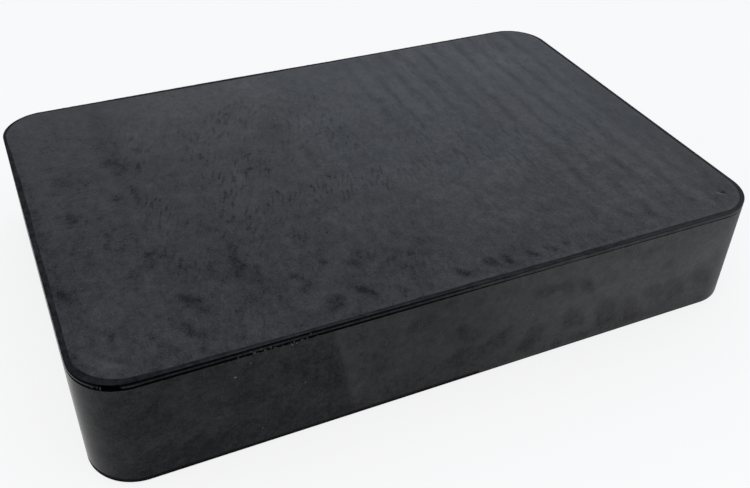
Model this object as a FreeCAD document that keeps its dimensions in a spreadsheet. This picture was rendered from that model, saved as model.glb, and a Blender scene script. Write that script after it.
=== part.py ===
import FreeCAD, Part
import enum
import math
import os

import Sketcher

# Rubber bench block: one solid slab of black rubber, pressed in a mould that is
# open at the top. The top is the work face, and the flat underside is what the
# block rests on. Its length runs along X, its width along Y and its height along
# Z, and the origin is the middle of the underside. Sizes are in millimetres.

NODE = "rubber_block"
PARTS_FOLDER = "parts"

BLOCK_SIZES = {
    # The outside of the block at its parting line, where it is largest.
    "block_length": 150.0,
    "block_width": 100.0,
    "block_height": 26.2,
    "corner_radius": 10.0,
    # Below the parting line the walls lean in, in degrees, to leave the mould.
    "draft_angle": 0.4,
    "base_edge_radius": 0.6,
    # The rim of the work face slopes down to the trimmed edge.
    "bevel_inset": 0.6,
    "bevel_height": 0.3,
    # Trimming the flash left a narrow flat band between two fine seams.
    "trimmed_band": 0.75,
    "seam_width": 0.25,
    "seam_depth": 0.25,
}
SEAM_COUNT = 2

# The lower seam lies on the parting line, and the upper one meets the bevel.
SEAM_PITCH = "(Sizes.trimmed_band + Sizes.seam_width)"
RIM_HEIGHT = f"({SEAM_PITCH} + Sizes.seam_width / 2 + Sizes.bevel_height)"
PARTING_HEIGHT = f"(Sizes.block_height - {RIM_HEIGHT})"

LEVEL_TOLERANCE = 1e-6


class LineEnd(enum.IntEnum):
    """The number that a constraint gives to each end of a line or an arc."""

    START = 1
    FINISH = 2


class SketchAxis(enum.IntEnum):
    """The number that a constraint gives to each of a sketch's own axes."""

    ACROSS = -1
    UPRIGHT = -2


def add_sizes(document):
    """Write the driving sizes into a sheet, one named cell each."""
    sheet = document.addObject("Spreadsheet::Sheet", "Sizes")
    for row, (name, value) in enumerate(BLOCK_SIZES.items(), start=1):
        sheet.set(f"A{row}", name)
        sheet.set(f"B{row}", str(value))
        sheet.setAlias(f"B{row}", name)
    document.recompute()


def origin_item(body, role):
    """The body's own origin plane or axis that has this role."""
    return next(item for item in body.Origin.OriginFeatures if item.Role == role)


def add_parting_sketch(body, name):
    """A level sketch at the height of the parting line."""
    sketch = body.newObject("Sketcher::SketchObject", name)
    sketch.AttachmentSupport = [(origin_item(body, "XY_Plane"), "")]
    sketch.MapMode = "FlatFace"
    sketch.setExpression("AttachmentOffset.Base.z", PARTING_HEIGHT)
    return sketch


def draw_rounded_rectangle(sketch):
    """Draw four straight sides and four corner arcs, and return both lists.

    They run on from each other, counter-clockwise from the front side.
    """
    half_length = BLOCK_SIZES["block_length"] / 2
    half_width = BLOCK_SIZES["block_width"] / 2
    radius = BLOCK_SIZES["corner_radius"]
    flat_x = half_length - radius
    flat_y = half_width - radius
    side_ends = [
        ((-flat_x, -half_width), (flat_x, -half_width)),
        ((half_length, -flat_y), (half_length, flat_y)),
        ((flat_x, half_width), (-flat_x, half_width)),
        ((-half_length, flat_y), (-half_length, -flat_y)),
    ]
    corner_centres = [(flat_x, -flat_y), (flat_x, flat_y), (-flat_x, flat_y), (-flat_x, -flat_y)]
    up = FreeCAD.Vector(0, 0, 1)
    quarter_turn = math.pi / 2
    sides = []
    corners = []
    for turn, ((start, end), centre) in enumerate(zip(side_ends, corner_centres)):
        side = Part.LineSegment(FreeCAD.Vector(*start, 0), FreeCAD.Vector(*end, 0))
        sides.append(sketch.addGeometry(side))
        circle = Part.Circle(FreeCAD.Vector(*centre, 0), up, radius)
        start_angle = (turn - 1) * quarter_turn
        corner = Part.ArcOfCircle(circle, start_angle, start_angle + quarter_turn)
        corners.append(sketch.addGeometry(corner))
    return sides, corners


def add_outline(sketch, prefix, growth):
    """Add the block's outline, grown all round by growth, to a sketch.

    The sides and the equal corner arcs are tangent and centred on the sketch's
    origin, so a length, a width and one radius set the whole outline.
    """
    sides, corners = draw_rounded_rectangle(sketch)
    front, right, back, left = sides
    first_corner = corners[0]
    start, finish = LineEnd.START, LineEnd.FINISH
    for side, corner, next_side in zip(sides, corners, [right, back, left, front]):
        sketch.addConstraint(Sketcher.Constraint("Tangent", side, finish, corner, start))
        sketch.addConstraint(Sketcher.Constraint("Tangent", corner, finish, next_side, start))
    for corner in corners[1:]:
        sketch.addConstraint(Sketcher.Constraint("Equal", first_corner, corner))
    for side, axis in ((front, SketchAxis.UPRIGHT), (right, SketchAxis.ACROSS)):
        sketch.addConstraint(Sketcher.Constraint("Symmetric", side, start, side, finish, axis))
    sketch.addConstraint(Sketcher.Constraint("Horizontal", back))
    sketch.addConstraint(Sketcher.Constraint("Vertical", left))
    length = BLOCK_SIZES["block_length"]
    width = BLOCK_SIZES["block_width"]
    radius = BLOCK_SIZES["corner_radius"]
    dimensions = {
        "length": (
            Sketcher.Constraint("DistanceX", left, start, right, start, length),
            f"Sizes.block_length + 2 * {growth}",
        ),
        "width": (
            Sketcher.Constraint("DistanceY", front, start, back, start, width),
            f"Sizes.block_width + 2 * {growth}",
        ),
        "radius": (
            Sketcher.Constraint("Radius", first_corner, radius),
            f"Sizes.corner_radius + {growth}",
        ),
    }
    for name, (constraint, size) in dimensions.items():
        index = sketch.addConstraint(constraint)
        sketch.renameConstraint(index, f"{prefix}_{name}")
        sketch.setExpression(f"Constraints.{prefix}_{name}", size)


def add_drafted_wall(body, outline):
    """Everything below the parting line, drawn down from it with the mould's draft."""
    wall = body.newObject("PartDesign::Pad", "drafted_wall")
    wall.Profile = outline
    wall.Reversed = True
    wall.setExpression("Length", PARTING_HEIGHT)
    wall.setExpression("TaperAngle", "-Sizes.draft_angle")
    body.Document.recompute()
    return wall


def add_rim(body, outline):
    """The straight rim above the parting line, up to the work face."""
    rim = body.newObject("PartDesign::Pad", "rim")
    rim.Profile = outline
    rim.setExpression("Length", RIM_HEIGHT)
    body.Document.recompute()
    return rim


def level_edges(feature, height):
    """Names of the feature's edges that lie level at this height."""
    return [
        f"Edge{number}"
        for number, edge in enumerate(feature.Shape.Edges, start=1)
        if all(abs(vertex.Z - height) < LEVEL_TOLERANCE for vertex in edge.Vertexes)
    ]


def add_bevel(body, rim):
    """Slope the rim of the work face down to the trimmed edge, all round."""
    bevel = body.newObject("PartDesign::Chamfer", "work_face_bevel")
    bevel.Base = (rim, level_edges(rim, rim.Shape.BoundBox.ZMax))
    bevel.ChamferType = "Two distances"
    bevel.setExpression("Size", "Sizes.bevel_height")
    bevel.setExpression("Size2", "Sizes.bevel_inset")
    body.Document.recompute()
    return bevel


def add_base_edge(body, solid):
    """Round the edge of the underside, as the bottom of the mould does."""
    base_edge = body.newObject("PartDesign::Fillet", "base_edge")
    base_edge.Base = (solid, level_edges(solid, solid.Shape.BoundBox.ZMin))
    base_edge.setExpression("Radius", "Sizes.base_edge_radius")
    body.Document.recompute()
    return base_edge


def require_cut(before, after):
    """Stop if a feature that should take rubber away took none."""
    if after.Shape.Volume >= before.Shape.Volume:
        raise RuntimeError(f"{after.Name} cut nothing")


def add_seams(body, solid):
    """Cut a seam all round on the parting line, and its twin under the bevel."""
    ring = add_parting_sketch(body, "seam_ring")
    add_outline(ring, "outside", "Sizes.seam_depth")
    add_outline(ring, "inside", "(-Sizes.seam_depth)")
    parting_seam = body.newObject("PartDesign::Pocket", "parting_seam")
    parting_seam.Profile = ring
    parting_seam.SideType = "Symmetric"
    parting_seam.setExpression("Length", "Sizes.seam_width")
    body.Document.recompute()
    require_cut(solid, parting_seam)
    seams = body.newObject("PartDesign::LinearPattern", "seams")
    seams.Originals = [parting_seam]
    seams.Direction = (origin_item(body, "Z_Axis"), [""])
    seams.Mode = "Spacing"
    seams.setExpression("Offset", SEAM_PITCH)
    seams.Occurrences = SEAM_COUNT
    body.Tip = seams
    body.Document.recompute()
    require_cut(parting_seam, seams)


def build_block(document):
    """The whole block as one moulded solid."""
    body = document.addObject("PartDesign::Body", NODE)
    body.Label = NODE
    body.Placement = FreeCAD.Placement()
    outline = add_parting_sketch(body, "parting_outline")
    add_outline(outline, "outline", "0")
    add_drafted_wall(body, outline)
    rim = add_rim(body, outline)
    bevel = add_bevel(body, rim)
    base_edge = add_base_edge(body, bevel)
    add_seams(body, base_edge)
    return body


def check_model(document, pieces):
    """Stop if an object failed to build or a piece has no sound shape."""
    for item in document.Objects:
        if "Invalid" in item.State or "Error" in item.State:
            raise RuntimeError(f"{item.Name} failed to build: {item.State}")
    for piece in pieces:
        if piece.Shape.isNull() or not piece.Shape.isValid():
            raise RuntimeError(f"{piece.Label} has no valid shape")


def main():
    document = FreeCAD.newDocument("bench_block")
    add_sizes(document)
    pieces = [build_block(document)]
    document.recompute()
    check_model(document, pieces)
    os.makedirs(PARTS_FOLDER, exist_ok=True)
    for piece in pieces:
        piece.Shape.exportStep(f"{PARTS_FOLDER}/{piece.Label}.step")
        box = piece.Shape.optimalBoundingBox()
        print(f"{piece.Label}: {box.XLength:.2f} x {box.YLength:.2f} x {box.ZLength:.2f} mm")


main()
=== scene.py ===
# %% [markdown]
# # A rubber bench block
#
# The real object is one slab of black rubber, moulded in one piece and laid on a
# bench to soften blows. It has no parts to assemble, so everything that makes it
# look real is in its edges, in small faults of the moulding, and in the grey bloom
# that rubber sweats out and that hands wipe off again.
#
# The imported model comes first. It fixes the size and the place of the slab, and
# nothing here may move it.

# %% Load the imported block
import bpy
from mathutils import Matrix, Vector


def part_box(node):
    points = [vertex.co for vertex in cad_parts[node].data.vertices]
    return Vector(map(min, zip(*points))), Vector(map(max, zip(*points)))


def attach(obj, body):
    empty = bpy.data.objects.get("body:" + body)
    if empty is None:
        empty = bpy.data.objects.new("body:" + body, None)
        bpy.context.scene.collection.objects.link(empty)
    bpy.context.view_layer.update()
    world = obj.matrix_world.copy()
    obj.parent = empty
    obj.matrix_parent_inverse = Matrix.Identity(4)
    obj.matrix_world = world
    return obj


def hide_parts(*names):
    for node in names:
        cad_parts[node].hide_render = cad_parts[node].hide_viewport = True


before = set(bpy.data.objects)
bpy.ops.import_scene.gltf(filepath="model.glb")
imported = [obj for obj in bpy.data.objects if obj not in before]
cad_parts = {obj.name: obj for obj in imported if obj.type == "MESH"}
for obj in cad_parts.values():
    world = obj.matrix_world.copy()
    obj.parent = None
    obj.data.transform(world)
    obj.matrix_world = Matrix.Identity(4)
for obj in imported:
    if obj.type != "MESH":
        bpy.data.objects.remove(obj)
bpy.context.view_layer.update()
print("nodes:", sorted(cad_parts))

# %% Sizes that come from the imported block
import enum
import math
from functools import lru_cache
from typing import NamedTuple

import bmesh
import bpy
import numpy as np
from mathutils import Matrix, Vector, noise

MM = 0.001
NODE = "rubber_block"
low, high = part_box(NODE)
LENGTH = high.x - low.x
WIDTH = high.y - low.y
HEIGHT = high.z - low.z
print(f"block: {LENGTH / MM:.1f} x {WIDTH / MM:.1f} x {HEIGHT / MM:.1f} mm")

# %% [markdown]
# ## The moulded slab
#
# On the real block the work face is flat, its margin slopes down a little, and
# just below it runs the trimmed edge: a flat band, not quite a millimetre wide,
# between two fine seams. Under the lower seam, which is the parting line of the
# mould, the walls lean in slightly, and the underside has a small round edge.
#
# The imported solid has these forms, perfectly even. A real edge is cut by hand
# and wavers, so this piece is a finer copy of the slab that can be worn. It could
# be a cube with bevels, but then the flat faces would be single large faces that
# can't carry a dent. So it starts as a fine grid, the work face, and its border
# is extruded down ring by ring along the section of the edge.

# %% Sizes that stay the same all round
CORNER_RADIUS = 10 * MM
MARGIN = 3.2 * MM
BEVEL_HEIGHT = 0.3 * MM
TRIMMED_BAND = 0.75 * MM
SEAM_WIDTH = 0.25 * MM
SEAM_LIP = 0.04 * MM
DRAFT = math.radians(0.4)
BASE_RADIUS = 0.6 * MM
CELL = 0.6 * MM
UPPER_SEAM = HEIGHT - BEVEL_HEIGHT - SEAM_WIDTH / 2
PARTING_HEIGHT = UPPER_SEAM - TRIMMED_BAND - SEAM_WIDTH
CENTRE_X = LENGTH / 2 - CORNER_RADIUS
CENTRE_Y = WIDTH / 2 - CORNER_RADIUS
print(f"parting line: {PARTING_HEIGHT / MM:.3f} mm above the underside")


# %% Find the way out from the middle of the block
PLACE_DIGITS = 3


def outline_frame(x, y):
    """The centre line point nearest to (x, y), and the way out from it."""
    centre = Vector((max(-CENTRE_X, min(CENTRE_X, x)), max(-CENTRE_Y, min(CENTRE_Y, y))))
    return centre, (Vector((x, y)) - centre).normalized()


def outline_place(x, y):
    """The point of the outline beside (x, y), in millimetres.

    It is rounded, so that all rings find the same place again.
    """
    centre, out = outline_frame(x, y)
    place = (centre + out * CORNER_RADIUS) / MM
    return round(place.x, PLACE_DIGITS), round(place.y, PLACE_DIGITS)


print("right of the outline:", outline_place(LENGTH, 0))


# %% Changes that come in smoothly
def smooth_step(start, end, value):
    """0 up to start, 1 from end on, and a smooth rise between them."""
    share = np.clip((value - start) / (end - start), 0, 1)
    return share * share * (3 - 2 * share)


def hump(centre, half_width, value):
    """1 at centre, falling smoothly to 0 at half_width on each side of it."""
    return 1 - smooth_step(0, half_width, abs(value - centre))


class Fade(NamedTuple):
    """A smooth rise from 0 at start to 1 at end, in millimetres along one axis."""

    axis: str
    start: float
    end: float


def faded(place, *fades):
    """How far a change has come in at a place: all its fades, multiplied."""
    return math.prod(smooth_step(start, end, place[axis]) for axis, start, end in fades)


print("half way:", faded({"x": 5}, Fade("x", 0, 10)))


# %% Noise that is the same on each run
LAYER_GAP = 31


class Layer(enum.IntEnum):
    """Each use of the noise has a layer of its own, so that no two patterns agree."""

    RAGGED = 1
    WAVER = 2
    TORN = 3
    DRIFT_ACROSS = 4
    DRIFT_ALONG = 5
    SPECKLE = 6
    PATCHES = 7
    STREAKS = 8
    BROWNED = 9


def cloud(point, size, layer):
    """Smooth noise, about -1 to 1, with lumps of this size in millimetres."""
    return noise.noise(Vector(point) / size + Vector((0, 0, LAYER_GAP * layer)))


print("layers of noise:", len(Layer))

# %% [markdown]
# ### How the trimmed edge varies
#
# Along the front the two seams gape on the left and close up towards the right.
# The margin is narrow along the front, wider along the far edges, thin at the back
# left corner, and widest at the front left corner, where many hands pick the block
# up. That wear runs out smoothly along the front. At the same corner the flash has
# torn away and taken the band between the seams with it.
#
# A texture could only paint this. Here every size of the edge depends on the place
# on the outline, so the section that is extruded changes as it goes round, and
# light falls on real lips, gaps and torn ends.

# %% Where the edge changes
SEAMS_CLOSE_UP = (Fade("x", -25, 25),)
LEFT_SIDE = (Fade("x", -38, -52), Fade("y", 42, 20))
LEFT_END = (Fade("x", -70, -75), Fade("y", 42, 20))
RIGHT_END = (Fade("x", 66, 74),)
BACK_EDGE = (Fade("y", 41, 49), Fade("x", -70, -20))
CRUMBLING_SEAM = (-39, 12)
# Round the front left corner, a place is an angle. 0 faces the front, 90 the left.
TORN_CORNER = (24, 22)
WORN_CORNER = (25, 60)
FRAYED_CORNER = (15, 30)
print("torn from", TORN_CORNER[0] - TORN_CORNER[1], "to", sum(TORN_CORNER), "degrees")

# %% How far it changes there, in millimetres
BEVEL_INSET = 0.72
INSET_ON_LEFT_SIDE = 0.2
INSET_ON_LEFT_END = 0.25
INSET_ON_FAR_EDGES = 0.5
INSET_WAVER = 0.15
INSET_WORN = 0.6
ROLL_OFF = 0.02
ROLL_OFF_WORN = 0.03
UPPER_WIDTH = 0.2
UPPER_GAPE = 0.36
UPPER_RAG = 0.1
UPPER_FRAY = 0.12
LOWER_WIDTH = 0.18
LOWER_GAPE = 0.34
LOWER_RAG = 0.12
LOWER_CRUMBLING = 0.25
SEAM_DEPTH = 0.3
SEAM_DEPTH_GAPING = 0.5
RAGGED_SIZE = 0.6
WAVER_SIZE = 6.5
# The band counts as torn where the tear, less its ragged rim, rises between these.
TEAR_RISE = (0.3, 0.6)
TEAR_RAG = 0.4
print(f"seams: {LOWER_WIDTH} mm wide at the right, {LOWER_WIDTH + LOWER_GAPE:.2f} mm at the left")


# %% Sizes of the edge at one place of the outline
class Edge(NamedTuple):
    """The local sizes of the edge, and how much of its band is torn away."""

    bevel_inset: float
    bevel_foot: float
    roll_off: float
    upper_width: float
    lower_width: float
    seam_depth: float
    torn: float


@lru_cache(maxsize=None)
def edge_at(x, y):
    """The edge at the place (x, y) of the outline, both in millimetres."""
    place = {"x": x, "y": y}
    ragged = cloud((x, y, 0), RAGGED_SIZE, Layer.RAGGED)
    waver = cloud((x, y, 0), WAVER_SIZE, Layer.WAVER)
    angle = math.degrees(math.atan2(-x - CENTRE_X / MM, -y - CENTRE_Y / MM))
    worn = hump(*WORN_CORNER, angle)
    gape = 1 - faded(place, *SEAMS_CLOSE_UP)
    far = max(faded(place, *RIGHT_END), faded(place, *BACK_EDGE))
    inset = BEVEL_INSET + INSET_ON_LEFT_SIDE * faded(place, *LEFT_SIDE)
    inset += INSET_ON_LEFT_END * faded(place, *LEFT_END) + INSET_ON_FAR_EDGES * far
    inset += INSET_WAVER * waver + INSET_WORN * worn
    upper = UPPER_WIDTH + UPPER_GAPE * gape + UPPER_RAG * ragged
    upper += UPPER_FRAY * hump(*FRAYED_CORNER, angle)
    rag = LOWER_RAG + LOWER_CRUMBLING * hump(*CRUMBLING_SEAM, x)
    return Edge(
        bevel_inset=inset * MM,
        bevel_foot=UPPER_SEAM + upper * MM / 2 + SEAM_LIP,
        roll_off=(ROLL_OFF + ROLL_OFF_WORN * worn) * MM,
        upper_width=upper * MM,
        lower_width=(LOWER_WIDTH + LOWER_GAPE * gape + rag * ragged) * MM,
        seam_depth=(SEAM_DEPTH + SEAM_DEPTH_GAPING * gape) * MM,
        torn=smooth_step(*TEAR_RISE, hump(*TORN_CORNER, angle) + TEAR_RAG * ragged),
    )


middle_of_front = edge_at(0, -WIDTH / 2 / MM)
print(f"margin at the middle of the front: {middle_of_front.bevel_inset / MM:.2f} mm")

# %% [markdown]
# ### Laying the grid and drawing the edge down
#
# The grid covers the work face inside its margin, in cells a little over half a
# millimetre wide. Its corners are square and the block's are round, so the points
# of each square corner patch move to a quarter of a disc, in which no cell gets a
# sharp point. Then the border is extruded once for each ring of the section, and
# the last ring is closed by one face, the underside.
#
# The section could be swept along the outline as a profile, but a sweep keeps one
# section all the way round. Ring by ring, each point takes the section of its own
# place.

# %% Lay the work face as a grid
flat_length = LENGTH - 2 * MARGIN
flat_width = WIDTH - 2 * MARGIN
bpy.ops.object.select_all(action="DESELECT")
bpy.ops.mesh.primitive_grid_add(
    x_subdivisions=round(flat_length / CELL),
    y_subdivisions=round(flat_width / CELL),
    size=1,
    location=(0, 0, HEIGHT),
)
slab = bpy.context.object
slab.name = "moulded_slab"
bpy.ops.object.transform_apply(location=True)
bpy.ops.object.mode_set(mode="EDIT")
bpy.ops.mesh.select_all(action="SELECT")
bpy.ops.transform.resize(value=(flat_length, flat_width, 1), center_override=(0, 0, HEIGHT))
bpy.ops.object.mode_set(mode="OBJECT")
print("work face:", len(slab.data.polygons), "cells")


# %% Round the four corners of the grid
def round_corner(vert):
    """Move a point of a square corner patch to its place in the round corner."""
    radius = CORNER_RADIUS - MARGIN
    across = (abs(vert.co.x) - CENTRE_X) / radius
    along = (abs(vert.co.y) - CENTRE_Y) / radius
    if across <= 0 or along <= 0:
        return
    x = CENTRE_X + radius * across * math.sqrt(1 - along**2 / 2)
    y = CENTRE_Y + radius * along * math.sqrt(1 - across**2 / 2)
    vert.co.xy = math.copysign(x, vert.co.x), math.copysign(y, vert.co.y)


for vert in slab.data.vertices:
    round_corner(vert)
print(f"work face inside its margin: {slab.dimensions.x / MM:.1f} x {slab.dimensions.y / MM:.1f} mm")

# %% The section of the margin and of a seam
MARGIN_SHARES = (0.75, 0.5, 0.25, 0.08)
SLOPE_STEPS = 5


def margin_section(edge):
    """The outer work face, and the slope from its crease down to the upper seam."""
    for share in MARGIN_SHARES:
        inset = edge.bevel_inset + (MARGIN - edge.bevel_inset) * share
        yield inset, HEIGHT - edge.roll_off * (1 - share) ** 2
    for step in range(SLOPE_STEPS):
        share = step / SLOPE_STEPS
        drop = edge.roll_off + (HEIGHT - edge.bevel_foot - edge.roll_off) * share
        yield edge.bevel_inset * (1 - share), HEIGHT - drop


def seam_section(middle, width, depth):
    """A fine groove with slightly rounded lips."""
    top = middle + width / 2
    bottom = middle - width / 2
    yield 0.0, top + SEAM_LIP
    yield SEAM_LIP, top
    yield depth, top - SEAM_LIP
    yield depth, bottom + SEAM_LIP
    yield SEAM_LIP, bottom
    yield 0.0, bottom - SEAM_LIP


print("margin:", len(MARGIN_SHARES) + SLOPE_STEPS, "rings")

# %% The section of the wall and of the base
WALL_STEPS = 30
BASE_STEPS = 5
QUARTER_TURN = math.pi / 2


def wall_section(top):
    """The drafted wall, from below the lower seam to the base radius."""
    for step in range(1, WALL_STEPS + 1):
        height = top + (BASE_RADIUS - top) * step / WALL_STEPS
        yield max(PARTING_HEIGHT - height, 0) * math.tan(DRAFT), height


def base_section():
    """The round edge of the underside."""
    inset = (PARTING_HEIGHT - BASE_RADIUS) * math.tan(DRAFT)
    for step in range(1, BASE_STEPS + 1):
        turn = QUARTER_TURN * step / BASE_STEPS
        yield inset + BASE_RADIUS * (1 - math.cos(turn)), BASE_RADIUS * (1 - math.sin(turn))


print("wall and base:", WALL_STEPS + BASE_STEPS, "rings")

# %% The whole section, with the torn band
KEPT_RINGS = 3
TEAR_LUMPS = 0.7
TEAR_RING_STEP = 0.3
TEAR_DEPTH = 0.75
TEAR_DEPTH_RAG = 0.5
TEAR_HEIGHT_RAG = 0.1


def tear(band, edge, x, y):
    """Draw the band in where it is torn, and leave ragged ends of it."""
    for number in range(KEPT_RINGS, len(band) - KEPT_RINGS):
        inset, height = band[number]
        rag = cloud((x, y, number * TEAR_RING_STEP), TEAR_LUMPS, Layer.TORN)
        loss = edge.torn * (TEAR_DEPTH + TEAR_DEPTH_RAG * rag) * MM
        band[number] = (max(inset, loss), height - edge.torn * TEAR_HEIGHT_RAG * rag * MM)
    return band


@lru_cache(maxsize=None)
def section_at(x, y):
    """All the rings of the edge at the place (x, y) of the outline."""
    edge = edge_at(x, y)
    band = [
        *seam_section(UPPER_SEAM, edge.upper_width, edge.seam_depth),
        (0.0, (UPPER_SEAM + PARTING_HEIGHT) / 2),
        *seam_section(PARTING_HEIGHT, edge.lower_width, edge.seam_depth),
    ]
    return [
        *margin_section(edge),
        *tear(band, edge, x, y),
        *wall_section(band[-1][1]),
        *base_section(),
    ]


ring_count = len(section_at(0, -WIDTH / 2 / MM))
print("section:", ring_count, "rings")


# %% Extrude the border ring by ring and close the underside
def place_ring(number):
    """Set the selected ring at its inset from the outline and at its height."""
    rings = bmesh.from_edit_mesh(slab.data)
    for vert in rings.verts:
        if vert.select:
            centre, out = outline_frame(vert.co.x, vert.co.y)
            inset, height = section_at(*outline_place(vert.co.x, vert.co.y))[number]
            vert.co.xy = centre + out * (CORNER_RADIUS - inset)
            vert.co.z = height
    bmesh.update_edit_mesh(slab.data)


bpy.ops.object.mode_set(mode="EDIT")
bpy.ops.mesh.select_mode(type="EDGE")
bpy.ops.mesh.select_all(action="DESELECT")
mesh = bmesh.from_edit_mesh(slab.data)
for edge in mesh.edges:
    edge.select_set(edge.is_boundary)
bmesh.update_edit_mesh(slab.data)
for number in range(ring_count):
    bpy.ops.mesh.extrude_edges_move(TRANSFORM_OT_translate={"value": (0, 0, -CELL)})
    place_ring(number)
bpy.ops.mesh.edge_face_add()
bpy.ops.mesh.select_all(action="SELECT")
bpy.ops.mesh.normals_make_consistent(inside=False)
bpy.ops.object.mode_set(mode="OBJECT")
print("slab:", len(slab.data.vertices), "points,", len(slab.data.polygons), "faces")

# %% [markdown]
# ### The dent beside the right corner
#
# Something sharp has struck the work face near its front right corner. It left a
# slot some two and a half millimetres long, and the rubber that it pushed aside
# stands up as a low lip along the slot's near side.
#
# The dent could be cut out, but rubber that is struck loses nothing, it is only
# moved. It is too small for the cells of the grid, so the cells around it are
# divided first. Then their points are pressed in and raised.

# %% Divide the cells around the dent
DENT = (68.9, -43.4)
DENT_REACH = 2.6
DENT_CUTS = 3
FACE_SKIN = 0.1
bpy.ops.object.mode_set(mode="EDIT")
bpy.ops.mesh.select_mode(type="FACE")
bpy.ops.mesh.select_all(action="DESELECT")
mesh = bmesh.from_edit_mesh(slab.data)
for face in mesh.faces:
    centre = face.calc_center_median() / MM
    near = math.dist(centre.xy, DENT) < DENT_REACH
    face.select_set(near and centre.z > HEIGHT / MM - FACE_SKIN)
bmesh.update_edit_mesh(slab.data)
bpy.ops.mesh.subdivide(number_cuts=DENT_CUTS)
bpy.ops.object.mode_set(mode="OBJECT")
print("slab with fine cells at the dent:", len(slab.data.polygons), "faces")

# %% Press it in
DENT_TURN = math.radians(51)
DENT_HALF_LENGTH = 1.3
DENT_DEPTH = 0.35
STEEP_SIDE = (-0.45, -0.25)
GENTLE_SIDE = (1.2, -0.25)
LIP_HEIGHT = 0.08
LIP_LENGTH = (-0.3, 1.7)
LIP_ACROSS = (-0.62, 0.36)


def dent_at(x, y):
    """How far a place in millimetres is pressed in and how far raised, as shares."""
    across = x - DENT[0]
    along = y - DENT[1]
    length = across * math.cos(DENT_TURN) - along * math.sin(DENT_TURN)
    away = across * math.sin(DENT_TURN) + along * math.cos(DENT_TURN)
    pressed = hump(0, DENT_HALF_LENGTH, length)
    pressed = pressed * smooth_step(*STEEP_SIDE, away) * smooth_step(*GENTLE_SIDE, away)
    return pressed, hump(*LIP_LENGTH, length) * hump(*LIP_ACROSS, away)


for vert in slab.data.vertices:
    if vert.co.z > HEIGHT - FACE_SKIN * MM:
        pressed, raised = dent_at(vert.co.x / MM, vert.co.y / MM)
        vert.co.z += (LIP_HEIGHT * raised - DENT_DEPTH * pressed) * MM
print(f"dent: {DENT_DEPTH:.2f} mm deep, with a lip {LIP_HEIGHT:.2f} mm high")


# %% Shade it
def select_only(obj):
    """Leave nothing else selected, because an operator acts on all that is."""
    bpy.ops.object.select_all(action="DESELECT")
    obj.select_set(True)
    bpy.context.view_layer.objects.active = obj


SMOOTH_UP_TO = math.radians(35)
select_only(slab)
bpy.ops.object.shade_smooth_by_angle(angle=SMOOTH_UP_TO)
print(f"smooth up to {math.degrees(SMOOTH_UP_TO):.0f} degrees, so the seams stay crisp")

# %% [markdown]
# ## The bloom and where it is wiped off
#
# Rubber of this kind sweats out a thin grey bloom. Fingers have left dark ovals
# low on the front, smudges lie over the left of the work face and along its near
# edge, and near the left corner a few pale scuffs show. Each mark is one line here:
# its place, its half sizes, its turn and its strength, which is negative for a scuff.
#
# Marks could be painted by hand on a picture. A list is easier to read and to move,
# and it needs no picture file. Noise makes the rim of each mark ragged, because a
# finger never lifts evenly.


# %% The marks on the work face
class Mark(NamedTuple):
    """One smudge on a face, in millimetres and degrees."""

    across: float
    along: float
    half_length: float
    half_width: float
    turn: float
    strength: float


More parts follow.
